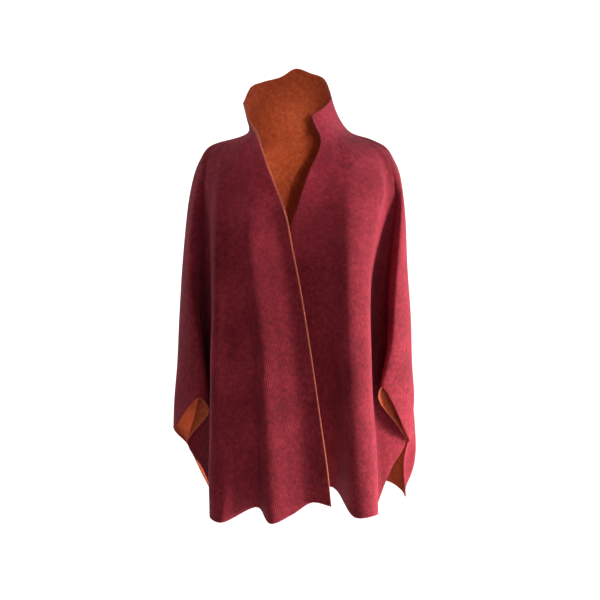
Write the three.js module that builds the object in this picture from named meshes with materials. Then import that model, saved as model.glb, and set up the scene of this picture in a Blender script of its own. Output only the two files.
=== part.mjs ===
import * as THREE from 'three';

// An open-front wool cape with a grown-on funnel collar, worn and filled out with no wearer.
// Millimetres: +X to the viewer's right, +Y to the back, +Z up.
// The origin is at the base of the neck, level with the neck ends of the shoulder seams.

// Driving sizes.
const WALL = 3;             // the double-faced knit, both layers together
const SEAM_GAP = 0.4;       // clearance between two pieces at their seam
const COLLAR_ROWS = 6;      // mesh rows from the collar's top to the neck
const SEAM_ROWS = 28;       // mesh rows from the neck along the overarm seam to the wrist
const VENT_ROWS = 8;        // mesh rows of the back piece below the end of that seam
const BACK_SHARE = 0.8;     // share of the back's length that lies beside the overarm seam
const COLLAR_ROUND = 0.13;  // how far the collar's front half bows out, as a share of its width
const COLLAR_FLAT = 24;     // width up to which it doesn't bow out

// Each piece hangs from lines that run down the cloth, along its edges and its folds.
// A line's rows are stations from the top to the bottom, each [x, y, z].
// The first stations of an edge or a seam, down to its neck row, belong to the collar.

// The front that laps on top: it hangs at the viewer's left.
const LAPPING_SEAM = {
  collar: [[-108, 4, 62], [-101, 3, 34]],
  arm: [
    [-96, 0, 2], [-132, 0, -15], [-161, 0, -23], [-186, 0, -39], [-197, 0, -56], [-208, 0, -81],
    [-220, 0, -131], [-227, 0, -181], [-237, 0, -282], [-244, 0, -383], [-250, 0, -486],
    [-257, 0, -563], [-260, 2, -624],
  ],
  vent: [[-233, 14, -660], [-219, 26, -693], [-205, 42, -731], [-186, 58, -776]],
};
const LAPPING_EDGE = {
  collar: [[-104, -13, 59], [-98, -27, 36], [-89, -42, 16]],
  body: [
    [-76, -58, -5], [-66, -78, -38], [-44, -103, -98], [-28, -116, -138], [-17, -124, -173],
    [-5, -131, -236], [8, -138, -302], [31, -152, -442], [51, -166, -580], [63, -176, -664],
    [72, -184, -742],
  ],
};
// share: place across the collar, from 0 at the front edge to 1 at the seam.
const LAPPING_LINES = [
  { name: 'dip', share: 0.1, body: [
    [-76, -73, -42], [-54, -103, -110], [-30, -122, -187], [-14, -135, -314],
    [2, -148, -452], [18, -162, -594], [28, -171, -687], [34, -170, -738]] },
  { name: 'brow', share: 0.18, body: [
    [-85, -66, -40], [-74, -101, -108], [-59, -127, -187], [-46, -141, -313],
    [-30, -157, -451], [-18, -171, -590], [-10, -179, -691], [-6, -182, -759]] },
  { name: 'crest', share: 0.27, body: [
    [-98, -60, -38], [-96, -96, -106], [-91, -131, -187], [-79, -146, -311],
    [-65, -165, -450], [-59, -180, -588], [-55, -188, -689], [-47, -194, -774]] },
  { name: 'trough', share: 0.38, body: [
    [-110, -55, -35], [-112, -90, -104], [-117, -122, -187], [-103, -136, -314],
    [-87, -149, -452], [-80, -158, -593], [-76, -152, -694], [-77, -136, -757]] },
  { name: 'swell', share: 0.52, body: [
    [-123, -47, -35], [-131, -83, -100], [-138, -115, -188], [-131, -132, -314],
    [-125, -147, -452], [-127, -161, -593], [-135, -173, -689], [-146, -186, -774]] },
  { name: 'fold', share: 0.63, body: [
    [-140, -38, -35], [-154, -76, -98], [-158, -108, -188], [-159, -128, -316],
    [-162, -142, -455], [-166, -152, -595], [-169, -158, -695], [-169, -162, -772]] },
  { name: 'tuck', share: 0.73, body: [
    [-152, -30, -34], [-167, -61, -98], [-171, -74, -189], [-171, -68, -322],
    [-169, -58, -468], [-168, -52, -617], [-168, -60, -717], [-164, -80, -771]] },
  { name: 'vent', share: 0.79, body: [
    [-161, -26, -34], [-178, -50, -100], [-182, -48, -190], [-181, -38, -324],
    [-181, -26, -473], [-187, -20, -624], [-196, -22, -708]] },
  { name: 'valley', share: 0.86, body: [
    [-165, -22, -34], [-185, -40, -102], [-191, -30, -190], [-193, -14, -327],
    [-194, 0, -477], [-206, 8, -569], [-231, 10, -659]] },
  { name: 'return', share: 0.9, body: [
    [-172, -17, -34], [-191, -38, -100], [-200, -43, -190], [-203, -42, -324],
    [-190, -44, -449], [-182, -48, -529], [-180, -50, -575]] },
  { name: 'lip', share: 0.94, body: [
    [-181, -12, -34], [-198, -33, -98], [-210, -50, -190], [-214, -59, -323],
    [-198, -66, -446], [-192, -69, -510], [-199, -68, -546]] },
];

// The front that lies underneath: it hangs at the viewer's right.
const UNDER_SEAM = {
  collar: [[74, 4, 75], [84, 3, 43]],
  arm: [
    [112, 0, 2], [159, 0, -15], [189, 0, -31], [205, 0, -56], [216, 0, -81], [225, 0, -131],
    [230, 0, -181], [235, 0, -282], [243, 0, -383], [247, 0, -486], [252, 0, -563],
    [244, 2, -652],
  ],
  vent: [[242, 16, -658], [234, 26, -700], [235, 32, -735], [240, 36, -784]],
};
const UNDER_EDGE = {
  collar: [[32, -60, 31], [39, -67, 12]],
  body: [
    [48, -74, -6], [51, -80, -24], [44, -90, -48], [24, -104, -88], [4, -112, -148],
    [-13, -115, -207], [-20, -120, -337], [-33, -118, -500], [-38, -92, -650], [-39, -62, -742],
  ],
};
const UNDER_LINES = [
  { name: 'under', share: 0.16, body: [
    [68, -90, -58], [55, -108, -118], [35, -118, -207], [20, -124, -337], [14, -116, -500],
    [16, -88, -651], [18, -62, -740]] },
  { name: 'trough', share: 0.31, body: [
    [90, -82, -54], [86, -110, -118], [77, -127, -207], [70, -132, -336], [70, -118, -500],
    [74, -92, -629], [75, -62, -735]] },
  { name: 'crest', share: 0.44, body: [
    [111, -74, -50], [112, -107, -118], [109, -134, -207], [106, -152, -334],
    [109, -164, -492], [113, -170, -631], [122, -174, -768]] },
  { name: 'fold', share: 0.58, body: [
    [149, -45, -41], [177, -64, -108], [164, -94, -194], [149, -118, -277],
    [145, -130, -336], [146, -142, -435], [149, -150, -534], [155, -158, -634],
    [159, -168, -765]] },
  { name: 'tuck', share: 0.69, body: [
    [164, -34, -41], [184, -46, -112], [170, -56, -200], [155, -62, -281], [152, -58, -343],
    [153, -46, -449], [159, -36, -558], [166, -36, -665], [171, -60, -775]] },
  { name: 'vent', share: 0.76, body: [
    [168, -30, -40], [193, -35, -114], [182, -31, -200], [168, -25, -284], [167, -17, -348],
    [170, -9, -454], [182, -6, -588], [204, -14, -708]] },
  { name: 'valley', share: 0.84, body: [
    [179, -25, -40], [206, -27, -116], [199, -17, -201], [190, -6, -285], [190, 2, -349],
    [193, 8, -457], [209, 10, -570], [236, 11, -655]] },
  { name: 'return', share: 0.88, body: [
    [183, -20, -40], [212, -29, -118], [208, -36, -200], [198, -42, -283], [194, -47, -344],
    [192, -53, -438], [180, -57, -504], [173, -58, -548]] },
  { name: 'lip', share: 0.93, body: [
    [190, -13, -42], [218, -27, -118], [216, -44, -200], [209, -56, -282], [205, -61, -343],
    [200, -66, -425], [189, -69, -483], [179, -70, -523]] },
];

// The back, in one piece from seam to seam.
const BACK_LINES = [
  { name: 'left side', collar: [[-93, 22, 96], [-90, 26, 50]], body: [
    [-88, 32, 6], [-150, 34, -24], [-196, 42, -80], [-216, 50, -190], [-226, 54, -380],
    [-238, 60, -560], [-222, 62, -645], [-190, 80, -714], [-172, 98, -776]] },
  { name: 'left crest', collar: [[-69, 46, 109], [-68, 50, 56]], body: [
    [-66, 55, 8], [-100, 72, -30], [-140, 100, -120], [-158, 112, -250], [-168, 124, -420],
    [-172, 142, -600], [-152, 176, -776]] },
  { name: 'left trough', collar: [[-31, 62, 121], [-34, 65, 60]], body: [
    [-36, 68, 10], [-55, 92, -40], [-72, 118, -130], [-80, 124, -260], [-86, 128, -430],
    [-92, 126, -600], [-96, 124, -776]] },
  { name: 'centre', collar: [[1, 66, 139], [0, 68, 66]], body: [
    [0, 72, 12], [-2, 98, -45], [-3, 124, -130], [-4, 134, -260], [-5, 150, -430],
    [-6, 168, -600], [-6, 184, -776]] },
  { name: 'right trough', collar: [[33, 64, 129], [35, 66, 62]], body: [
    [38, 68, 10], [55, 92, -40], [72, 118, -130], [80, 124, -260], [90, 132, -430],
    [102, 140, -600], [118, 150, -776]] },
  { name: 'right crest', collar: [[58, 44, 117], [64, 48, 58]], body: [
    [74, 55, 8], [110, 72, -30], [146, 98, -120], [164, 110, -250], [174, 118, -420],
    [190, 126, -600], [202, 134, -774]] },
  { name: 'right side', collar: [[69, 20, 94], [82, 24, 50]], body: [
    [100, 32, 6], [160, 34, -24], [202, 42, -80], [222, 50, -190], [234, 54, -380],
    [250, 58, -560], [262, 52, -680], [254, 62, -736], [233, 72, -778]] },
];

// Mesh columns between one line and the next.
const LAPPING_STEPS = [4, 4, 4, 5, 4, 4, 3, 2, 3, 2, 2, 4];
const UNDER_STEPS = [3, 5, 6, 5, 4, 2, 3, 2, 2, 4];
const BACK_STEPS = [5, 5, 5, 5, 5, 5, 4, 5];

// A rounded curve through points: the slope at each point comes from its neighbours.
function curveThrough(points, before, after) {
  const p = points.map((q) => new THREE.Vector3(...q));
  const first = before ? new THREE.Vector3(...before) : p[0].clone().multiplyScalar(2).sub(p[1]);
  const n = p.length;
  const last = after ? new THREE.Vector3(...after) : p[n - 1].clone().multiplyScalar(2).sub(p[n - 2]);
  const all = [first, ...p, last];
  const gap = (a, b) => Math.max(1e-6, Math.sqrt(a.distanceTo(b)));
  const slopes = p.map((q, i) => {
    const d0 = gap(all[i], q);
    const d1 = gap(q, all[i + 2]);
    const back = q.clone().sub(all[i]).divideScalar(d0);
    const over = all[i + 2].clone().sub(all[i]).divideScalar(d0 + d1);
    const ahead = all[i + 2].clone().sub(q).divideScalar(d1);
    return back.sub(over).add(ahead);
  });
  return (span, t) => {
    const d = gap(p[span], p[span + 1]);
    const t2 = t * t;
    const t3 = t2 * t;
    return p[span].clone().multiplyScalar(2 * t3 - 3 * t2 + 1)
      .addScaledVector(slopes[span], (t3 - 2 * t2 + t) * d)
      .addScaledVector(p[span + 1], 3 * t2 - 2 * t3)
      .addScaledVector(slopes[span + 1], (t3 - t2) * d);
  };
}

// Points at equal distances along the part of a line between two of its stations.
function evenPoints(stations, from, to, count) {
  const curve = curveThrough(stations);
  const fine = [];
  for (let span = from; span < to; span++) {
    for (let k = 0; k < 24; k++) fine.push(curve(span, k / 24));
  }
  fine.push(curve(to - 1, 1));
  const length = [0];
  for (let i = 1; i < fine.length; i++) length.push(length[i - 1] + fine[i].distanceTo(fine[i - 1]));
  const total = length[length.length - 1];
  const out = [];
  let i = 0;
  for (let k = 0; k <= count; k++) {
    const want = (total * k) / count;
    while (i < fine.length - 2 && length[i + 1] < want) i++;
    const t = (want - length[i]) / (length[i + 1] - length[i]);
    out.push(fine[i].clone().lerp(fine[i + 1], t));
  }
  return out;
}

// The rows of a line: the collar's first, then the body's.
function lineRows(collar, body, bodyRows) {
  const stations = [...collar, ...body];
  const neck = collar.length;
  const top = evenPoints(stations, 0, neck, COLLAR_ROWS);
  const low = evenPoints(stations, neck, stations.length - 1, bodyRows);
  return [...top.slice(0, -1), ...low];
}

// A front's inner line crosses the collar between the edge and the seam.
function frontLine(line, edge, seam) {
  const across = (e, s) => {
    const p = e.clone().lerp(s, line.share);
    const width = Math.max(0, e.distanceTo(s) - COLLAR_FLAT);
    const bow = 4 * line.share * (1 - line.share) * COLLAR_ROUND * width;
    const out = new THREE.Vector3(p.x, p.y, 0).normalize();
    return p.addScaledVector(out, bow).toArray();
  };
  const middle = COLLAR_ROWS / 2;
  const collar = [across(edge[0], seam[0]), across(edge[middle], seam[middle])];
  const neck = across(edge[COLLAR_ROWS], seam[COLLAR_ROWS]);
  return lineRows(collar, [neck, ...line.body], SEAM_ROWS);
}

// A sheet of mesh points: each row is a rounded curve across the lines.
// At a seam the cloth rolls over level: towards is the way that it goes on, along Y.
function sheetOf(lines, steps, towardsBefore, towardsAfter) {
  const rows = [];
  const goOn = (end, next, towards) => {
    if (!towards) return null;
    return [end.x, end.y + towards * end.distanceTo(next), end.z];
  };
  for (let r = 0; r < lines[0].length; r++) {
    const row3 = lines.map((line) => line[r]);
    const points = row3.map((p) => p.toArray());
    const n = row3.length;
    const before = goOn(row3[0], row3[1], towardsBefore);
    const after = goOn(row3[n - 1], row3[n - 2], towardsAfter);
    const curve = curveThrough(points, before, after);
    const row = [];
    steps.forEach((count, span) => {
      for (let k = 0; k < count; k++) row.push(curve(span, k / count));
    });
    row.push(curve(steps.length - 1, 1));
    rows.push(row);
  }
  return rows;
}

// The outward direction beside a seam, which lies in the plane of X and Z.
function seamNormal(sheet, r, c) {
  const a = sheet[Math.max(0, r - 1)][c];
  const b = sheet[Math.min(COLLAR_ROWS + SEAM_ROWS, r + 1)][c];
  const side = Math.sign(sheet[r][c].x);
  return new THREE.Vector3(-side * (b.z - a.z), 0, side * (b.x - a.x)).normalize();
}

// A closed wall on a sheet. Rows run down and columns run round; flip sets which face is out.
function wallOf(sheet, flip, isSeam) {
  const rows = sheet.length;
  const cols = sheet[0].length;
  const outer = [];
  const inner = [];
  for (let r = 0; r < rows; r++) {
    for (let c = 0; c < cols; c++) {
      const down = sheet[Math.min(rows - 1, r + 1)][c].clone().sub(sheet[Math.max(0, r - 1)][c]);
      const round = sheet[r][Math.min(cols - 1, c + 1)].clone().sub(sheet[r][Math.max(0, c - 1)]);
      let n = down.cross(round).normalize();
      if (flip) n.negate();
      if (isSeam(r, c)) n = seamNormal(sheet, r, c);
      outer.push(sheet[r][c].clone().addScaledVector(n, WALL / 2));
      inner.push(sheet[r][c].clone().addScaledVector(n, -WALL / 2));
    }
  }
  const points = [...outer, ...inner];
  const at = (r, c, layer) => layer * rows * cols + r * cols + c;
  const faces = [];
  const quad = (a, b, c, d) => faces.push(flip ? [a, d, c] : [a, b, c], flip ? [a, c, b] : [a, c, d]);
  for (let r = 0; r < rows - 1; r++) {
    for (let c = 0; c < cols - 1; c++) {
      quad(at(r, c, 0), at(r + 1, c, 0), at(r + 1, c + 1, 0), at(r, c + 1, 0));
      quad(at(r, c, 1), at(r, c + 1, 1), at(r + 1, c + 1, 1), at(r + 1, c, 1));
    }
  }
  for (let r = 0; r < rows - 1; r++) {
    quad(at(r, 0, 0), at(r, 0, 1), at(r + 1, 0, 1), at(r + 1, 0, 0));
    quad(at(r, cols - 1, 0), at(r + 1, cols - 1, 0), at(r + 1, cols - 1, 1), at(r, cols - 1, 1));
  }
  for (let c = 0; c < cols - 1; c++) {
    quad(at(0, c, 0), at(0, c + 1, 0), at(0, c + 1, 1), at(0, c, 1));
    quad(at(rows - 1, c, 0), at(rows - 1, c, 1), at(rows - 1, c + 1, 1), at(rows - 1, c + 1, 0));
  }
  const geometry = new THREE.BufferGeometry();
  geometry.setAttribute('position', new THREE.Float32BufferAttribute(points.flatMap((p) => p.toArray()), 3));
  geometry.setIndex(faces.flat());
  geometry.computeVertexNormals();
  return geometry;
}

// Moves one end column of a sheet off the seam by half the clearance.
function clearSeam(sheet, column, towards) {
  const seamEnd = COLLAR_ROWS + SEAM_ROWS;
  for (let r = 0; r <= Math.min(seamEnd, sheet.length - 1); r++) {
    sheet[r][column].y += towards * (SEAM_GAP / 2);
  }
}

const cape = new THREE.Group();
const wool = new THREE.MeshStandardMaterial({ color: '#6e1c26', roughness: 0.95 });

function addPiece(name, geometry) {
  const mesh = new THREE.Mesh(geometry, wool);
  mesh.name = name;
  cape.add(mesh);
}

// One front: from its edge round to the overarm seam.
function buildFront(name, seamTable, edgeTable, lineTables, steps, flip) {
  const seam = lineRows(seamTable.collar, seamTable.arm, SEAM_ROWS);
  const edge = lineRows(edgeTable.collar, edgeTable.body, SEAM_ROWS);
  const inner = lineTables.map((line) => frontLine(line, edge, seam));
  const sheet = sheetOf([edge, ...inner, seam], steps, 0, 1);
  const lastColumn = sheet[0].length - 1;
  clearSeam(sheet, lastColumn, -1);
  addPiece(name, wallOf(sheet, flip, (r, c) => c === lastColumn));
  return seam;
}

const leftSeam = buildFront(
  'front_right', LAPPING_SEAM, LAPPING_EDGE, LAPPING_LINES, LAPPING_STEPS, true);
const rightSeam = buildFront(
  'front_left', UNDER_SEAM, UNDER_EDGE, UNDER_LINES, UNDER_STEPS, false);

// The back's side edge: the seam, then the back half of the hand opening and the vent.
function backSide(seam, table) {
  const stations = [...table.arm, ...table.vent];
  const wrist = table.arm.length - 1;
  const vent = evenPoints(stations, wrist, stations.length - 1, VENT_ROWS);
  return [...seam, ...vent.slice(1)];
}

// A back line's rows keep pace with the seam, then with the vent.
function backLine(line) {
  const stations = [...line.collar, ...line.body];
  const neck = line.collar.length;
  const top = evenPoints(stations, 0, neck, COLLAR_ROWS);
  const fine = 1000;
  const low = evenPoints(stations, neck, stations.length - 1, fine);
  const rows = top.slice(0, -1);
  for (let r = 0; r <= SEAM_ROWS; r++) rows.push(low[Math.round((fine * BACK_SHARE * r) / SEAM_ROWS)]);
  for (let r = 1; r <= VENT_ROWS; r++) {
    rows.push(low[Math.round(fine * (BACK_SHARE + ((1 - BACK_SHARE) * r) / VENT_ROWS))]);
  }
  return rows;
}

const backLines = [
  backSide(leftSeam, LAPPING_SEAM), ...BACK_LINES.map(backLine), backSide(rightSeam, UNDER_SEAM),
];
const backSheet = sheetOf(backLines, BACK_STEPS, -1, -1);
const backLast = backSheet[0].length - 1;
clearSeam(backSheet, 0, 1);
clearSeam(backSheet, backLast, 1);
const alongSeam = COLLAR_ROWS + SEAM_ROWS;
addPiece('back', wallOf(backSheet, true,
  (r, c) => (c === 0 || c === backLast) && r <= alongSeam));

export default cape;
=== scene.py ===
"""A worn wool cape: two fronts and a back of double-faced knit, with a funnel collar grown on."""
import math

import bpy
import numpy as np
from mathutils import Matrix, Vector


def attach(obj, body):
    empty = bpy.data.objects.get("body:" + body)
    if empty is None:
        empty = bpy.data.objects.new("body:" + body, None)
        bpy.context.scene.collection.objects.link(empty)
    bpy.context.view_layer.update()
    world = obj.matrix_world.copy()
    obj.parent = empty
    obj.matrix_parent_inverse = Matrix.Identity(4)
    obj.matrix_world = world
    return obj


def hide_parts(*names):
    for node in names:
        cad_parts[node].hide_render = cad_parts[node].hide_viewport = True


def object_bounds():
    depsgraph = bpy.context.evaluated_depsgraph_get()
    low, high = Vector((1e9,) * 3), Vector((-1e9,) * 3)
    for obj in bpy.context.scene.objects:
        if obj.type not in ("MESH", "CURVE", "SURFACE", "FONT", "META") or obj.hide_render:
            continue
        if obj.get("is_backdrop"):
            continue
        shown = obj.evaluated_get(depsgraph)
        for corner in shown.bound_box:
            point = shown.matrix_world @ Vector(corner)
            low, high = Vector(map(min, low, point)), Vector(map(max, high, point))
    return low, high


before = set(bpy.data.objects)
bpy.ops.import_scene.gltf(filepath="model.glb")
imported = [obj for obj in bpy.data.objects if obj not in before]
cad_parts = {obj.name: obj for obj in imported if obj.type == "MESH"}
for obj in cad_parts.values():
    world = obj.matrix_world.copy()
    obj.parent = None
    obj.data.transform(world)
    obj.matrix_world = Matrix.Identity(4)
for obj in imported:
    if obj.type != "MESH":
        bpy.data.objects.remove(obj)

cad_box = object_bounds()


# The photograph's view.
# A camera at chest height, 2.3 m in front of the cape, that looks down a little.
# Its lens frames the cape as the photograph does.

PHOTO_WIDTH = 600       # the photograph's width, pixels
FOCAL_LENGTH = 1095     # the lens that fits the photograph, pixels
SENSOR_WIDTH = 36       # mm
CAMERA_PLACE = (0.0099, -2.3, -0.12)
CAMERA_DIP = 5.69       # how far it looks down, degrees

photo_camera_data = bpy.data.cameras.new("photo_camera")
photo_camera_data.lens = FOCAL_LENGTH / PHOTO_WIDTH * SENSOR_WIDTH
photo_camera_data.sensor_width = SENSOR_WIDTH
photo_camera = bpy.data.objects.new("photo_camera", photo_camera_data)
photo_camera.location = CAMERA_PLACE
photo_camera.rotation_euler = (math.radians(90 - CAMERA_DIP), 0, 0)
bpy.context.collection.objects.link(photo_camera)
bpy.context.scene.camera = photo_camera
bpy.context.scene.view_settings.view_transform = "Standard"


# The studio.
# A pale seamless paper sweep stands well clear of the cape, which its wearer would hold up.
# The main softbox stands low at the viewer's right, with a weak one in front, a small
# gridded one on the collar and two on the paper.

def linear(hex_colour):
    """An sRGB hex colour as linear red, green, blue and alpha."""
    parts = [int(hex_colour[i:i + 2], 16) / 255 for i in (1, 3, 5)]
    curve = [p / 12.92 if p <= 0.04045 else ((p + 0.055) / 1.055) ** 2.4 for p in parts]
    return (*curve, 1.0)


def add_node(tree, kind, settings=None, links=None):
    """Adds a node, sets its properties or inputs by name, and links its inputs."""
    node = tree.nodes.new(kind)
    for name, value in (settings or {}).items():
        if isinstance(name, str) and hasattr(node, name):
            setattr(node, name, value)
        else:
            node.inputs[name].default_value = value
    for name, socket in (links or {}).items():
        tree.links.new(socket, node.inputs[name])
    return node


def new_material(name):
    """An empty material with its own shader and output."""
    material = bpy.data.materials.new(name)
    material.use_nodes = True
    tree = material.node_tree
    tree.nodes.clear()
    shader = add_node(tree, "ShaderNodeBsdfPrincipled")
    add_node(tree, "ShaderNodeOutputMaterial", links={"Surface": shader.outputs["BSDF"]})
    return material, tree, shader


# Background paper: matt, with a faint unevenness that keeps it from looking computed.
sweep_paper, tree, shader = new_material("studio_paper")
place = add_node(tree, "ShaderNodeTexCoord")
mottle = add_node(tree, "ShaderNodeTexNoise", {"Scale": 1.5, "Detail": 2.0},
                  {"Vector": place.outputs["Object"]})
tone = add_node(tree, "ShaderNodeValToRGB", links={"Fac": mottle.outputs["Fac"]})
tone.color_ramp.elements[0].color = linear("#f4f3f1")
tone.color_ramp.elements[1].color = linear("#f8f7f5")
tree.links.new(tone.outputs["Color"], shader.inputs["Base Color"])
shader.inputs["Roughness"].default_value = 0.9

# The paper's floor, bend and wall, in metres.
FLOOR_LEVEL = -1.38     # the ground under a standing wearer
FLOOR_FRONT = -4.0      # where the floor starts, behind the camera
BEND_START = 2.6        # where the floor starts to curve up behind the cape
BEND_RADIUS = 1.4
WALL_TOP = 4.5
HALF_WIDTH = 7.0        # of the whole sweep
BEND_STEPS = 16

sweep_profile = [(FLOOR_FRONT, FLOOR_LEVEL), (BEND_START, FLOOR_LEVEL)]
for step in range(1, BEND_STEPS + 1):
    angle = math.radians(90 * step / BEND_STEPS)
    sweep_profile.append((BEND_START + BEND_RADIUS * math.sin(angle),
                          FLOOR_LEVEL + BEND_RADIUS * (1 - math.cos(angle))))
sweep_profile.append((BEND_START + BEND_RADIUS, WALL_TOP))
sweep_points = [(x, y, z) for y, z in sweep_profile for x in (-HALF_WIDTH, HALF_WIDTH)]
sweep_faces = [(2 * i, 2 * i + 1, 2 * i + 3, 2 * i + 2) for i in range(len(sweep_profile) - 1)]
sweep_mesh = bpy.data.meshes.new("paper_sweep")
sweep_mesh.from_pydata(sweep_points, [], sweep_faces)
sweep_mesh.materials.append(sweep_paper)
sweep_mesh.polygons.foreach_set("use_smooth", [True] * len(sweep_faces))
paper_sweep = bpy.data.objects.new("paper_sweep", sweep_mesh)
bpy.context.collection.objects.link(paper_sweep)
paper_sweep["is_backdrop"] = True


def add_softbox(name, place, aim, size, power, spread=180):
    """A square light of a size in metres and a power in watts that points at a place.
    A grid narrows its spread, in degrees."""
    data = bpy.data.lights.new(name, "AREA")
    data.shape = "SQUARE"
    data.size = size
    data.energy = power
    data.spread = math.radians(spread)
    lamp = bpy.data.objects.new(name, data)
    lamp.location = place
    away = np.array(place) - np.array(aim)
    across = math.hypot(away[0], away[1])
    lamp.rotation_euler = (math.atan2(across, away[2]), 0, math.atan2(away[0], -away[1]))
    bpy.context.collection.objects.link(lamp)


add_softbox("main_softbox", (2.0, -0.42, -0.85), (0, -0.1, -0.5), size=0.7, power=98)
add_softbox("front_softbox", (0.5, -2.8, 0.1), (0, 0, -0.3), size=1.0, power=12)
add_softbox("collar_softbox", (0.3, -2.3, -0.02), (-0.01, 0.05, -0.05), size=0.2, power=0.13,
            spread=9)
add_softbox("paper_softbox_right", (1.8, 1.2, 1.8), (0.4, 3.6, -0.6), size=1.6, power=85)
add_softbox("paper_softbox_left", (-1.8, 1.2, 1.8), (-0.4, 3.6, -0.6), size=1.6, power=85)

studio_world = bpy.data.worlds.new("studio_world")
studio_world.use_nodes = True
bpy.context.scene.world = studio_world
room_light = studio_world.node_tree.nodes["Background"]
room_light.inputs["Color"].default_value = linear("#fbfaf8")
room_light.inputs["Strength"].default_value = 0.14


# The right front.
# The wearer's right front, which laps on top and hangs at the viewer's left.
# It is one piece of double-faced wool knit, with its half of the funnel collar cut on,
# and it hangs in one deep fold beside the arm and in waves towards its edge.

CLOTH = 3.0             # both layers together, mm
COLLAR_ROWS = 18        # mesh rows from the collar's top to the neck
SEAM_ROWS = 140         # mesh rows from the neck along the overarm seam to the wrist
VENT_ROWS = 40          # mesh rows of the back below the end of that seam
BACK_SHARE = 0.8        # share of the back's length that lies beside the overarm seam
COLLAR_ROUND = 0.13     # how far the collar's front half bows out, as a share of its width
COLLAR_FLAT = 24.0      # width up to which it doesn't bow out
FINER = 3               # mesh columns here for each one of the CAD model's
LINE_SAMPLES = 24       # points in each span from which a line's length is measured
RELIEF = 0.8            # strength of the cloth's unevenness, which stays under 1.7 mm
BORDER_INSET = 1.3      # distance from a border to the extra row that rounds it, mm
FREE_BORDER = 0.27      # half the thickness at a free border, as a share of the cloth's
SEAM_BORDER = 0.36      # the same at a seam

# Lines run down the cloth along its edges and folds. Each row is a station, (x, y, z) in mm.
RIGHT_SEAM = {
    "collar": [(-108, 4, 62), (-101, 3, 34)],
    "arm": [
        (-96, 0, 2), (-132, 0, -15), (-161, 0, -23), (-186, 0, -39), (-197, 0, -56),
        (-208, 0, -81), (-220, 0, -131), (-227, 0, -181), (-237, 0, -282), (-244, 0, -383),
        (-250, 0, -486), (-257, 0, -563), (-260, 2, -624),
    ],
    "vent": [(-233, 14, -660), (-219, 26, -693), (-205, 42, -731), (-186, 58, -776)],
}
RIGHT_EDGE = {
    "collar": [(-104, -13, 59), (-98, -27, 36), (-89, -42, 16)],
    "body": [
        (-76, -58, -5), (-66, -78, -38), (-44, -103, -98), (-28, -116, -138), (-17, -124, -173),
        (-5, -131, -236), (8, -138, -302), (31, -152, -442), (51, -166, -580), (63, -176, -664),
        (72, -184, -742),
    ],
}
# Each inner line: its name, its place across the collar, its stations, its mesh columns.
RIGHT_LINES = [
    ("dip", 0.1, [
        (-76, -73, -42), (-54, -103, -110), (-30, -122, -187), (-14, -135, -314),
        (2, -148, -452), (18, -162, -594), (28, -171, -687), (34, -170, -738)]),
    ("brow", 0.18, [
        (-85, -66, -40), (-74, -101, -108), (-59, -127, -187), (-46, -141, -313),
        (-30, -157, -451), (-18, -171, -590), (-10, -179, -691), (-6, -182, -759)]),
    ("crest", 0.27, [
        (-98, -60, -38), (-96, -96, -106), (-91, -131, -187), (-79, -146, -311),
        (-65, -165, -450), (-59, -180, -588), (-55, -188, -689), (-47, -194, -774)]),
    ("trough", 0.38, [
        (-110, -55, -35), (-112, -90, -104), (-117, -122, -187), (-103, -136, -314),
        (-87, -149, -452), (-80, -158, -593), (-76, -152, -694), (-77, -136, -757)]),
    ("swell", 0.52, [
        (-123, -47, -35), (-131, -83, -100), (-138, -115, -188), (-131, -132, -314),
        (-125, -147, -452), (-127, -161, -593), (-135, -173, -689), (-146, -186, -774)]),
    ("fold", 0.63, [
        (-140, -38, -35), (-154, -76, -98), (-158, -108, -188), (-159, -128, -316),
        (-162, -142, -455), (-166, -152, -595), (-169, -158, -695), (-169, -162, -772)]),
    ("tuck", 0.73, [
        (-152, -30, -34), (-167, -61, -98), (-171, -74, -189), (-171, -68, -322),
        (-169, -58, -468), (-168, -52, -617), (-168, -60, -717), (-164, -80, -771)]),
    ("vent", 0.79, [
        (-161, -26, -34), (-178, -50, -100), (-182, -48, -190), (-181, -38, -324),
        (-181, -26, -473), (-187, -20, -624), (-196, -22, -708)]),
    ("valley", 0.86, [
        (-165, -22, -34), (-185, -40, -102), (-191, -30, -190), (-193, -14, -327),
        (-194, 0, -477), (-206, 8, -569), (-231, 10, -659)]),
    ("return", 0.9, [
        (-172, -17, -34), (-191, -38, -100), (-200, -43, -190), (-203, -42, -324),
        (-190, -44, -449), (-182, -48, -529), (-180, -50, -575)]),
    ("lip", 0.94, [
        (-181, -12, -34), (-198, -33, -98), (-210, -50, -190), (-214, -59, -323),
        (-198, -66, -446), (-192, -69, -510), (-199, -68, -546)]),
]
RIGHT_COLUMNS = [4, 4, 4, 5, 4, 4, 3, 2, 3, 2, 2, 4]


def length_of(vectors):
    return np.linalg.norm(vectors, axis=-1, keepdims=True)


def curve_through(points, before=None, after=None):
    """A rounded curve through points; the slope at each comes from its neighbours."""
    p = np.asarray(points, float)
    first = 2 * p[0] - p[1] if before is None else before
    last = 2 * p[-1] - p[-2] if after is None else after
    every = np.concatenate([first[None], p, last[None]])
    gaps = np.sqrt(np.maximum(length_of(np.diff(every, axis=0)), 1e-9))
    before_slope = np.diff(every, axis=0)[:-1] / gaps[:-1]
    after_slope = np.diff(every, axis=0)[1:] / gaps[1:]
    over = (every[2:] - every[:-2]) / (gaps[:-1] + gaps[1:])
    slopes = before_slope - over + after_slope

    def at(span, t):
        d = gaps[span + 1]
        return (p[span] * (2 * t**3 - 3 * t**2 + 1) + slopes[span] * d * (t**3 - 2 * t**2 + t)
                + p[span + 1] * (3 * t**2 - 2 * t**3) + slopes[span + 1] * d * (t**3 - t**2))
    return at


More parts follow.
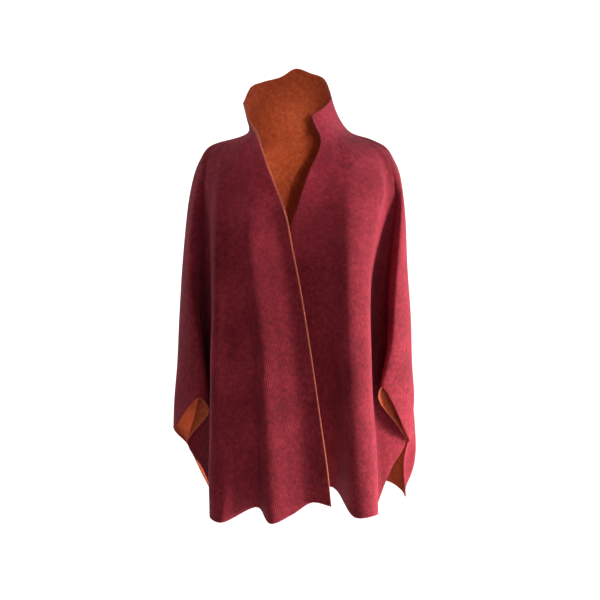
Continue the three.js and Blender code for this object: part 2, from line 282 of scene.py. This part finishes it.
def even_points(stations, start, end, shares):
    """Points at given shares of the length between two stations of a line."""
    at = curve_through(stations)
    dense = [at(span, k / LINE_SAMPLES)
             for span in range(start, end) for k in range(LINE_SAMPLES)]
    dense.append(at(end - 1, 1.0))
    dense = np.array(dense)
    run = np.concatenate([[0], np.cumsum(length_of(np.diff(dense, axis=0))[:, 0])])
    wanted = np.asarray(shares) * run[-1]
    return np.stack([np.interp(wanted, run, dense[:, k]) for k in range(3)], axis=1)


def line_rows(collar, body):
    """The mesh rows of a line: the collar's first, then the body's down to the wrist's row."""
    stations = [*collar, *body]
    neck = len(collar)
    top = even_points(stations, 0, neck, np.linspace(0, 1, COLLAR_ROWS + 1))
    low = even_points(stations, neck, len(stations) - 1, np.linspace(0, 1, SEAM_ROWS + 1))
    return np.concatenate([top[:-1], low])


def front_line(line, edge, seam):
    """A front's inner line crosses the collar between the edge and the seam."""
    share, body = line[1:]
    crossing = []
    for row in (0, COLLAR_ROWS // 2, COLLAR_ROWS):
        point = edge[row] + (seam[row] - edge[row]) * share
        width = max(0.0, float(length_of(seam[row] - edge[row])[0]) - COLLAR_FLAT)
        outward = np.array([point[0], point[1], 0.0])
        outward /= np.linalg.norm(outward)
        crossing.append(point + outward * 4 * share * (1 - share) * COLLAR_ROUND * width)
    return line_rows(crossing[:2], [crossing[2], *body])


def sheet_of(lines, columns, roll_before=0, roll_after=0):
    """A sheet of points, rows by columns: each row is a rounded curve across the lines.
    At a seam the cloth rolls over level, and roll gives the way that it goes on along Y."""
    lines = np.array(lines)

    def go_on(end, neighbour, way):
        if not way:
            return None
        beyond = end.copy()
        beyond[:, 1] += way * length_of(end - neighbour)[:, 0]
        return beyond
    at = curve_through(lines, go_on(lines[0], lines[1], roll_before),
                       go_on(lines[-1], lines[-2], roll_after))
    steps = [(span, k / (count * FINER)) for span, count in enumerate(columns)
             for k in range(count * FINER)]
    steps.append((len(columns) - 1, 1.0))
    return np.stack([at(span, t) for span, t in steps], axis=1)


def sheet_normals(sheet, outward, seam_columns=()):
    """The outward direction at each point; beside a seam it stays in the plane of X and Z."""
    down = np.gradient(sheet, axis=0)
    across = np.gradient(sheet, axis=1)
    normals = np.cross(down, across) * outward
    seam_end = COLLAR_ROWS + SEAM_ROWS
    for column in seam_columns:
        line = sheet[:seam_end + 1, column]
        along = np.gradient(line, axis=0)
        side = np.sign(line[:, 0])
        normals[:seam_end + 1, column] = np.stack(
            [-side * along[:, 2], 0 * side, side * along[:, 0]], axis=1)
    return normals / length_of(normals)


def hand_relief(sheet, normals):
    """The slight unevenness of thick wool that hangs: long shallow swells, in mm."""
    x, y, z = sheet[..., 0], sheet[..., 1], sheet[..., 2]
    swell = (np.sin(x / 31 + z / 190 + 0.6) * np.sin(z / 83 + y / 60)
             + 0.7 * np.sin(z / 47 - x / 67 + 1.9) * np.sin(x / 24 + y / 41)
             + 0.4 * np.sin(z / 23 + x / 17) * np.sin(y / 19 - z / 61 + 0.8))
    rows = np.arange(sheet.shape[0])[:, None] / sheet.shape[0]
    cols = np.arange(sheet.shape[1])[None, :] / (sheet.shape[1] - 1)
    calm = np.clip(np.minimum(cols, 1 - cols) * 12, 0, 1) * np.clip((1 - rows) * 20, 0.2, 1)
    return sheet + normals * (swell * RELIEF * calm)[..., None]


def edge_rows(sheet):
    """Adds a row and a column close inside each border, so that the border can be rounded."""
    for axis in (0, 1):
        s = np.moveaxis(sheet, axis, 0)
        near = s[0] + (s[1] - s[0]) * np.minimum(0.5, BORDER_INSET / length_of(s[1] - s[0]))
        far = s[-1] + (s[-2] - s[-1]) * np.minimum(0.5, BORDER_INSET / length_of(s[-2] - s[-1]))
        rounded = np.concatenate([s[:1], near[None], s[1:-1], far[None], s[-1:]])
        sheet = np.moveaxis(rounded, 0, axis)
    return sheet


def knit_wall(name, sheet, outward, seams, materials):
    """The piece's mesh: wine face, orange face and rounded borders, with UVs in metres."""
    seam_columns = [0 if s == "first" else -1 for s in seams]
    sheet = hand_relief(sheet, sheet_normals(sheet, outward, seam_columns))
    sheet = edge_rows(sheet)
    normals = sheet_normals(sheet, outward, seam_columns)
    rows, cols = sheet.shape[:2]
    half = np.full((rows, cols), CLOTH / 2)
    half[0, :] = half[-1, :] = CLOTH * FREE_BORDER
    half[:, 0] = half[:, -1] = CLOTH * FREE_BORDER
    for column in seam_columns:
        half[:, column] = CLOTH * SEAM_BORDER
    outer = sheet + normals * half[..., None]
    inner = sheet - normals * half[..., None]
    points = np.concatenate([outer.reshape(-1, 3), inner.reshape(-1, 3)]) / 1000
    index = np.arange(rows * cols).reshape(rows, cols)
    back = index + rows * cols

    def quads(a, b, c, d):
        stack = np.stack([a, b, c, d], axis=-1).reshape(-1, 4)
        return stack if outward > 0 else stack[:, ::-1]
    face = quads(index[:-1, :-1], index[1:, :-1], index[1:, 1:], index[:-1, 1:])
    lining = quads(back[:-1, :-1], back[:-1, 1:], back[1:, 1:], back[1:, :-1])
    borders = [
        quads(index[:-1, 0], back[:-1, 0], back[1:, 0], index[1:, 0]),
        quads(index[:-1, -1], index[1:, -1], back[1:, -1], back[:-1, -1]),
        quads(index[0, :-1], index[0, 1:], back[0, 1:], back[0, :-1]),
        quads(index[-1, :-1], back[-1, :-1], back[-1, 1:], index[-1, 1:]),
    ]
    faces = np.concatenate([face, lining, *borders])
    mesh = bpy.data.meshes.new(name)
    mesh.from_pydata(points.tolist(), [], faces.tolist())
    slots = np.concatenate([np.zeros(len(face)), np.ones(len(lining)),
                            np.zeros(sum(len(b) for b in borders))]).astype(int)
    for material in materials:
        mesh.materials.append(material)
    mesh.polygons.foreach_set("material_index", slots)
    mesh.polygons.foreach_set("use_smooth", [True] * len(faces))
    across = np.concatenate([np.zeros((rows, 1)), np.cumsum(
        length_of(np.diff(sheet, axis=1))[..., 0], axis=1)], axis=1)
    down = np.concatenate([np.zeros((1, cols)), np.cumsum(
        length_of(np.diff(sheet, axis=0))[..., 0], axis=0)], axis=0)
    flat = np.stack([across, down], axis=-1).reshape(-1, 2) / 1000
    flat = np.concatenate([flat, flat])
    layer = mesh.uv_layers.new(name="cloth")
    layer.data.foreach_set("uv", flat[faces.reshape(-1)].reshape(-1))
    mesh.validate()
    piece = bpy.data.objects.new(name, mesh)
    bpy.context.collection.objects.link(piece)
    return piece, sheet, normals


# The real knit's spacing in mm. A wave texture of this scale draws its bands 1.97 times as
# far apart, so the wales are 3.75 mm and the courses 2.96 mm apart in the picture.
WALES = 1.9
COURSES = 1.5
FULL_TURN = 6.2832      # in radians, rounded


def wool_knit(name, deep, mid, light, sheen_colour, sheen_weight):
    """Double-faced wool knit, brushed: fibres dyed in the yarn give a heathered colour, the
    raised nap catches the light at the edges of folds, and fine wales run down the cloth."""
    material, tree, shader = new_material(name)
    place = add_node(tree, "ShaderNodeTexCoord")
    flat = add_node(tree, "ShaderNodeUVMap", {"uv_map": "cloth"})
    # Fibre flecks of about 1.5 mm, drawn a little coarse so that they show at this size.
    flecks = add_node(tree, "ShaderNodeTexNoise",
                      {"Scale": 620.0, "Detail": 3.0, "Roughness": 0.75},
                      {"Vector": place.outputs["Object"]})
    # Clumps of fibre, 6 to 10 mm across.
    clumps = add_node(tree, "ShaderNodeTexNoise",
                      {"Scale": 120.0, "Detail": 4.0, "Roughness": 0.65},
                      {"Vector": place.outputs["Object"]})
    # Broad tone changes where the nap lies another way, 50 to 90 mm across.
    nap = add_node(tree, "ShaderNodeTexNoise", {"Scale": 14.0, "Detail": 2.0},
                   {"Vector": place.outputs["Object"]})
    both = add_node(tree, "ShaderNodeMath", {"operation": "ADD"},
                    {0: flecks.outputs["Fac"], 1: clumps.outputs["Fac"]})
    with_nap = add_node(tree, "ShaderNodeMath", {"operation": "MULTIPLY_ADD", 1: 0.5},
                        {0: nap.outputs["Fac"], 2: both.outputs["Value"]})
    spread = add_node(tree, "ShaderNodeMapRange",
                      {"From Min": 0.93, "From Max": 1.58}, {"Value": with_nap.outputs["Value"]})
    heather = add_node(tree, "ShaderNodeValToRGB", links={"Fac": spread.outputs["Result"]})
    heather.color_ramp.elements[0].color = linear(deep)
    heather.color_ramp.elements[1].color = linear(light)
    middle = heather.color_ramp.elements.new(0.5)
    middle.color = linear(mid)
    tree.links.new(heather.outputs["Color"], shader.inputs["Base Color"])
    # Wales and courses, softened by the brushing, and drawn coarser so that they show.
    wales = add_node(tree, "ShaderNodeTexWave",
                     {"wave_type": "BANDS", "bands_direction": "X", "Scale": 1000 / WALES / FULL_TURN,
                      "Distortion": 1.2, "Detail": 2.0, "Detail Scale": 2.0},
                     {"Vector": flat.outputs["UV"]})
    courses = add_node(tree, "ShaderNodeTexWave",
                       {"wave_type": "BANDS", "bands_direction": "Y",
                        "Scale": 1000 / COURSES / FULL_TURN, "Distortion": 1.6, "Detail": 2.0},
                       {"Vector": flat.outputs["UV"]})
    stitches = add_node(tree, "ShaderNodeMath", {"operation": "MULTIPLY_ADD", 1: 0.5},
                        {0: courses.outputs["Fac"], 2: wales.outputs["Fac"]})
    fibre = add_node(tree, "ShaderNodeMath", {"operation": "MULTIPLY_ADD", 1: 2.2},
                     {0: flecks.outputs["Fac"], 2: stitches.outputs["Value"]})
    knit_bump = add_node(tree, "ShaderNodeBump", {"Strength": 0.55, "Distance": 0.0005},
                         {"Height": fibre.outputs["Value"]})
    nap_bump = add_node(tree, "ShaderNodeBump", {"Strength": 0.5, "Distance": 0.0016},
                        {"Height": clumps.outputs["Fac"], "Normal": knit_bump.outputs["Normal"]})
    tree.links.new(nap_bump.outputs["Normal"], shader.inputs["Normal"])
    noise_ramp = add_node(tree, "ShaderNodeMapRange", {"To Min": 0.82, "To Max": 0.98},
                    {"Value": clumps.outputs["Fac"]})
    tree.links.new(noise_ramp.outputs["Result"], shader.inputs["Roughness"])
    shader.inputs["Specular IOR Level"].default_value = 0.25
    shader.inputs["Sheen Weight"].default_value = sheen_weight
    shader.inputs["Sheen Roughness"].default_value = 0.45
    shader.inputs["Sheen Tint"].default_value = linear(sheen_colour)
    return material


wine_knit = wool_knit("wine_brushed_wool_knit", "#560c16", "#7c1926", "#982c3a", "#cc6088", 0.14)
orange_knit = wool_knit("orange_brushed_wool_knit", "#983718", "#b94c28", "#cf633a", "#e09070", 0.1)

right_seam = line_rows(RIGHT_SEAM["collar"], RIGHT_SEAM["arm"])
right_edge = line_rows(RIGHT_EDGE["collar"], RIGHT_EDGE["body"])
right_inner = [front_line(line, right_edge, right_seam) for line in RIGHT_LINES]
right_sheet = sheet_of([right_edge, *right_inner, right_seam], RIGHT_COLUMNS, 0, 1)
front_right_cloth, right_sheet, right_normals = knit_wall(
    "front_right_cloth", right_sheet, -1, ["last"], [wine_knit, orange_knit])
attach(front_right_cloth, "root")
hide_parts("front_right")


# The linked front edge.
# Along the lapping edge the orange face is rolled over the wine one and whipped down with
# yarn. The roll is about 4 mm wide, thicker where the collar turns out, and it thins out and
# ends 15 mm above the hem.

def grow_nodes(piece, tree, inputs):
    """Runs a node tree on a piece with the given inputs and leaves a plain smooth mesh."""
    modifier = piece.modifiers.new(tree.name, "NODES")
    modifier.node_group = tree
    for item in tree.interface.items_tree:
        if item.item_type == "SOCKET" and item.in_out == "INPUT" and item.name in inputs:
            modifier[item.identifier] = inputs[item.name]
    bpy.context.view_layer.update()
    seen = piece.evaluated_get(bpy.context.evaluated_depsgraph_get())
    grown = bpy.data.meshes.new_from_object(seen)
    piece.modifiers.remove(modifier)
    piece.data = grown
    grown.polygons.foreach_set("use_smooth", [True] * len(grown.polygons))


def path_piece(name, path, thickness):
    """A line of points in mm, each with its own thickness, as the start of a node tree."""
    mesh = bpy.data.meshes.new(name)
    mesh.from_pydata((path / 1000).tolist(), [(i, i + 1) for i in range(len(path) - 1)], [])
    roll = mesh.attributes.new("roll_radius", "FLOAT", "POINT")
    roll.data.foreach_set("value", np.broadcast_to(thickness, len(path)) / 1000)
    piece = bpy.data.objects.new(name, mesh)
    bpy.context.collection.objects.link(piece)
    return piece


whipped_edge = bpy.data.node_groups.new("whipped_edge", "GeometryNodeTree")
whipped_edge.interface.new_socket("Path", in_out="INPUT", socket_type="NodeSocketGeometry")
for input_name, kind in (("Stitch Spacing", "Float"), ("Yarn Share", "Float"),
                         ("Slant", "Float"), ("Yarn", "Material")):
    whipped_edge.interface.new_socket(input_name, in_out="INPUT", socket_type="NodeSocket" + kind)
whipped_edge.interface.new_socket("Edge", in_out="OUTPUT", socket_type="NodeSocketGeometry")
given = add_node(whipped_edge, "NodeGroupInput")
radius = add_node(whipped_edge, "GeometryNodeInputNamedAttribute",
                  {"data_type": "FLOAT", "Name": "roll_radius"})
line = add_node(whipped_edge, "GeometryNodeMeshToCurve", links={"Mesh": given.outputs["Path"]})
thick_line = add_node(whipped_edge, "GeometryNodeSetCurveRadius",
                      links={"Curve": line.outputs["Curve"], "Radius": radius.outputs["Attribute"]})
section = add_node(whipped_edge, "GeometryNodeCurvePrimitiveCircle",
                   {"Resolution": 12, "Radius": 1.0})
roll = add_node(whipped_edge, "GeometryNodeCurveToMesh", {"Fill Caps": True},
                {"Curve": thick_line.outputs["Curve"], "Profile Curve": section.outputs["Curve"],
                 "Scale": radius.outputs["Attribute"]})
places = add_node(whipped_edge, "GeometryNodeResampleCurve", {"mode": "LENGTH"},
                  {"Curve": thick_line.outputs["Curve"], "Length": given.outputs["Stitch Spacing"]})
yarn = add_node(whipped_edge, "GeometryNodeCurvePrimitiveCircle", {"Resolution": 5},
                {"Radius": given.outputs["Yarn Share"]})
loop = add_node(whipped_edge, "GeometryNodeCurveToMesh",
                links={"Curve": section.outputs["Curve"], "Profile Curve": yarn.outputs["Curve"]})
way = add_node(whipped_edge, "GeometryNodeInputTangent")
along = add_node(whipped_edge, "FunctionNodeAlignRotationToVector", {"axis": "Z"},
                 {"Vector": way.outputs["Tangent"]})
tilt = add_node(whipped_edge, "ShaderNodeCombineXYZ", links={"X": given.outputs["Slant"]})
tilted = add_node(whipped_edge, "FunctionNodeRotateRotation", {"rotation_space": "LOCAL"},
                  {"Rotation": along.outputs["Rotation"], "Rotate By": tilt.outputs["Vector"]})
stitches = add_node(whipped_edge, "GeometryNodeInstanceOnPoints",
                    links={"Points": places.outputs["Curve"], "Instance": loop.outputs["Mesh"],
                           "Rotation": tilted.outputs["Rotation"],
                           "Scale": radius.outputs["Attribute"]})
both = add_node(whipped_edge, "GeometryNodeJoinGeometry")
whipped_edge.links.new(roll.outputs["Mesh"], both.inputs["Geometry"])
whipped_edge.links.new(stitches.outputs["Instances"], both.inputs["Geometry"])
real = add_node(whipped_edge, "GeometryNodeRealizeInstances",
                links={"Geometry": both.outputs["Geometry"]})
dressed = add_node(whipped_edge, "GeometryNodeSetMaterial",
                   links={"Geometry": real.outputs["Geometry"], "Material": given.outputs["Yarn"]})
add_node(whipped_edge, "NodeGroupOutput", links={"Edge": dressed.outputs["Geometry"]})

# Coral wool yarn, spun from the orange face's fibre: a matt twist whose tone runs with the ply from
# dark to pale coral. The pale coral is partly the yarn's own colour and partly a painted highlight,
# the light that the rolled edge catches.
linked_yarn, tree, shader = new_material("coral_linked_wool_yarn")
place = add_node(tree, "ShaderNodeTexCoord")
ply = add_node(tree, "ShaderNodeTexNoise", {"Scale": 480.0, "Detail": 3.0, "Roughness": 0.7},
               {"Vector": place.outputs["Object"]})
# The ramp's pale end is partly painted highlight of the lit rolled edge.
noise_ramp = add_node(tree, "ShaderNodeValToRGB", links={"Fac": ply.outputs["Fac"]})
noise_ramp.color_ramp.elements[0].position = 0.3
noise_ramp.color_ramp.elements[0].color = linear("#7e3222")
noise_ramp.color_ramp.elements[1].position = 0.7
noise_ramp.color_ramp.elements[1].color = linear("#c9684f")
tree.links.new(noise_ramp.outputs["Color"], shader.inputs["Base Color"])
fuzz = add_node(tree, "ShaderNodeBump", {"Strength": 0.5, "Distance": 0.0004},
                {"Height": ply.outputs["Fac"]})
tree.links.new(fuzz.outputs["Normal"], shader.inputs["Normal"])
shader.inputs["Roughness"].default_value = 0.9
shader.inputs["Specular IOR Level"].default_value = 0.25
shader.inputs["Sheen Weight"].default_value = 0.3
shader.inputs["Sheen Roughness"].default_value = 0.45
shader.inputs["Sheen Tint"].default_value = linear("#f0a890")

# A stitch every 3.6 mm, in yarn of 0.14 times the roll's radius, slanted by 28 degrees.
WHIPPING = {"Stitch Spacing": 0.0036, "Yarn Share": 0.14, "Slant": math.radians(28),
            "Yarn": linked_yarn}
EDGE_STOP = 15.0        # the roll ends this far above the hem, mm
ROLL_OUT = 0.9          # how far the roll's middle stands out from the cloth's, mm
FADE_LENGTH = 30        # the roll thins out over this length at its lower end, mm
FADE_LEAST = 0.35       # its least thickness there, as a share
# The roll's radius at distances down the edge from the collar's top, both in mm.
ROLL_PLACES = [0, 38, 56, 70, 84, 112, 2000]
ROLL_RADII = [0.9, 1.0, 2.4, 3.3, 3.0, 1.8, 1.8]

edge_line = right_sheet[:, 0] + right_normals[:, 0] * ROLL_OUT
edge_run = np.concatenate([[0], np.cumsum(length_of(np.diff(edge_line, axis=0))[:, 0])])
edge_line = edge_line[edge_run < edge_run[-1] - EDGE_STOP]
edge_run = edge_run[:len(edge_line)]
fade = np.clip((edge_run[-1] - edge_run) / FADE_LENGTH, FADE_LEAST, 1)
roll_radius = np.interp(edge_run, ROLL_PLACES, ROLL_RADII) * fade
lapping_edge_roll = path_piece("lapping_edge_roll", edge_line, roll_radius)
grow_nodes(lapping_edge_roll, whipped_edge, WHIPPING)
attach(lapping_edge_roll, "root")

# The lip of the hand opening, where the cloth turns back under the arm, is whipped the same way.
RIGHT_LIP = slice(101, 114)     # the mesh columns of its hem that are whipped
LIP_ROLL = 1.5                  # radius of that roll, mm

right_lip_line = right_sheet[-1, RIGHT_LIP]
right_lip_roll = path_piece("right_lip_roll", right_lip_line, LIP_ROLL)
grow_nodes(right_lip_roll, whipped_edge, WHIPPING)
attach(right_lip_roll, "root")


# The left front.
# The wearer's left front, which lies underneath and hangs at the viewer's right.
# It is the same cut turned over; its hidden edge reaches past the middle under the lap.
# The tables are written as the right front's are.

LEFT_SEAM = {
    "collar": [(74, 4, 75), (84, 3, 43)],
    "arm": [
        (112, 0, 2), (159, 0, -15), (189, 0, -31), (205, 0, -56), (216, 0, -81),
        (225, 0, -131), (230, 0, -181), (235, 0, -282), (243, 0, -383), (247, 0, -486),
        (252, 0, -563), (244, 2, -652),
    ],
    "vent": [(242, 16, -658), (234, 26, -700), (235, 32, -735), (240, 36, -784)],
}
LEFT_EDGE = {
    "collar": [(32, -60, 31), (39, -67, 12)],
    "body": [
        (48, -74, -6), (51, -80, -24), (44, -90, -48), (24, -104, -88), (4, -112, -148),
        (-13, -115, -207), (-20, -120, -337), (-33, -118, -500), (-38, -92, -650),
        (-39, -62, -742),
    ],
}
LEFT_LINES = [
    ("under", 0.16, [
        (68, -90, -58), (55, -108, -118), (35, -118, -207), (20, -124, -337),
        (14, -116, -500), (16, -88, -651), (18, -62, -740)]),
    ("trough", 0.31, [
        (90, -82, -54), (86, -110, -118), (77, -127, -207), (70, -132, -336),
        (70, -118, -500), (74, -92, -629), (75, -62, -735)]),
    ("crest", 0.44, [
        (111, -74, -50), (112, -107, -118), (109, -134, -207), (106, -152, -334),
        (109, -164, -492), (113, -170, -631), (122, -174, -768)]),
    ("fold", 0.58, [
        (149, -45, -41), (177, -64, -108), (164, -94, -194), (149, -118, -277),
        (145, -130, -336), (146, -142, -435), (149, -150, -534), (155, -158, -634),
        (159, -168, -765)]),
    ("tuck", 0.69, [
        (164, -34, -41), (184, -46, -112), (170, -56, -200), (155, -62, -281),
        (152, -58, -343), (153, -46, -449), (159, -36, -558), (166, -36, -665),
        (171, -60, -775)]),
    ("vent", 0.76, [
        (168, -30, -40), (193, -35, -114), (182, -31, -200), (168, -25, -284),
        (167, -17, -348), (170, -9, -454), (182, -6, -588), (204, -14, -708)]),
    ("valley", 0.84, [
        (179, -25, -40), (206, -27, -116), (199, -17, -201), (190, -6, -285),
        (190, 2, -349), (193, 8, -457), (209, 10, -570), (236, 11, -655)]),
    ("return", 0.88, [
        (183, -20, -40), (212, -29, -118), (208, -36, -200), (198, -42, -283),
        (194, -47, -344), (192, -53, -438), (180, -57, -504), (173, -58, -548)]),
    ("lip", 0.93, [
        (190, -13, -42), (218, -27, -118), (216, -44, -200), (209, -56, -282),
        (205, -61, -343), (200, -66, -425), (189, -69, -483), (179, -70, -523)]),
]
LEFT_COLUMNS = [3, 5, 6, 5, 4, 2, 3, 2, 2, 4]

left_seam = line_rows(LEFT_SEAM["collar"], LEFT_SEAM["arm"])
left_edge = line_rows(LEFT_EDGE["collar"], LEFT_EDGE["body"])
left_inner = [front_line(line, left_edge, left_seam) for line in LEFT_LINES]
left_sheet = sheet_of([left_edge, *left_inner, left_seam], LEFT_COLUMNS, 0, 1)
front_left_cloth, left_sheet = knit_wall(
    "front_left_cloth", left_sheet, 1, ["last"], [wine_knit, orange_knit])[:2]
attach(front_left_cloth, "root")
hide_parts("front_left")

# Its hand opening has the same whipped lip.
LEFT_LIP = slice(86, 98)        # the mesh columns of its hem that are whipped

left_lip_line = left_sheet[-1, LEFT_LIP]
left_lip_roll = path_piece("left_lip_roll", left_lip_line, LIP_ROLL)
grow_nodes(left_lip_roll, whipped_edge, WHIPPING)
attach(left_lip_roll, "root")


# The back.
# One piece of the same knit from seam to seam, with the back of the funnel collar cut on.
# It falls from the shoulder blades in long flutes to the hem.

# Each line of the back: its name, its stations in the collar and its stations below.
BACK_LINES = [
    ("right side", [(-93, 22, 96), (-90, 26, 50)], [
        (-88, 32, 6), (-150, 34, -24), (-196, 42, -80), (-216, 50, -190),
        (-226, 54, -380), (-238, 60, -560), (-222, 62, -645), (-190, 80, -714),
        (-172, 98, -776)]),
    ("right crest", [(-69, 46, 109), (-68, 50, 56)], [
        (-66, 55, 8), (-100, 72, -30), (-140, 100, -120), (-158, 112, -250),
        (-168, 124, -420), (-172, 142, -600), (-152, 176, -776)]),
    ("right trough", [(-31, 62, 121), (-34, 65, 60)], [
        (-36, 68, 10), (-55, 92, -40), (-72, 118, -130), (-80, 124, -260),
        (-86, 128, -430), (-92, 126, -600), (-96, 124, -776)]),
    ("centre", [(1, 66, 139), (0, 68, 66)], [
        (0, 72, 12), (-2, 98, -45), (-3, 124, -130), (-4, 134, -260),
        (-5, 150, -430), (-6, 168, -600), (-6, 184, -776)]),
    ("left trough", [(33, 64, 129), (35, 66, 62)], [
        (38, 68, 10), (55, 92, -40), (72, 118, -130), (80, 124, -260),
        (90, 132, -430), (102, 140, -600), (118, 150, -776)]),
    ("left crest", [(58, 44, 117), (64, 48, 58)], [
        (74, 55, 8), (110, 72, -30), (146, 98, -120), (164, 110, -250),
        (174, 118, -420), (190, 126, -600), (202, 134, -774)]),
    ("left side", [(69, 20, 94), (82, 24, 50)], [
        (100, 32, 6), (160, 34, -24), (202, 42, -80), (222, 50, -190), (234, 54, -380),
        (250, 58, -560), (262, 52, -680), (254, 62, -736), (233, 72, -778)]),
]
BACK_COLUMNS = [5, 5, 5, 5, 5, 5, 4, 5]


def back_side(seam_rows, table):
    """A side edge of the back: the seam, then its half of the hand opening and the vent."""
    stations = [*table["arm"], *table["vent"]]
    wrist = len(table["arm"]) - 1
    shares = np.linspace(0, 1, VENT_ROWS + 1)
    vent = even_points(stations, wrist, len(stations) - 1, shares)
    return np.concatenate([seam_rows, vent[1:]])


def back_line(line):
    """A back line's rows keep pace with the seam, then with the vent."""
    collar, body = line[1:]
    stations = [*collar, *body]
    neck = len(collar)
    top = even_points(stations, 0, neck, np.linspace(0, 1, COLLAR_ROWS + 1))
    beside = np.linspace(0, BACK_SHARE, SEAM_ROWS + 1)
    below = np.linspace(BACK_SHARE, 1, VENT_ROWS + 1)[1:]
    low = even_points(stations, neck, len(stations) - 1, np.concatenate([beside, below]))
    return np.concatenate([top[:-1], low])


back_lines = [back_side(right_seam, RIGHT_SEAM), *[back_line(line) for line in BACK_LINES],
              back_side(left_seam, LEFT_SEAM)]
back_sheet = sheet_of(back_lines, BACK_COLUMNS, -1, -1)
back_cloth = knit_wall(
    "back_cloth", back_sheet, -1, ["first", "last"], [wine_knit, orange_knit])[0]
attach(back_cloth, "root")
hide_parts("back")

boxes = [[list(map(float, corner)) for corner in box] for box in (cad_box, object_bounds())]
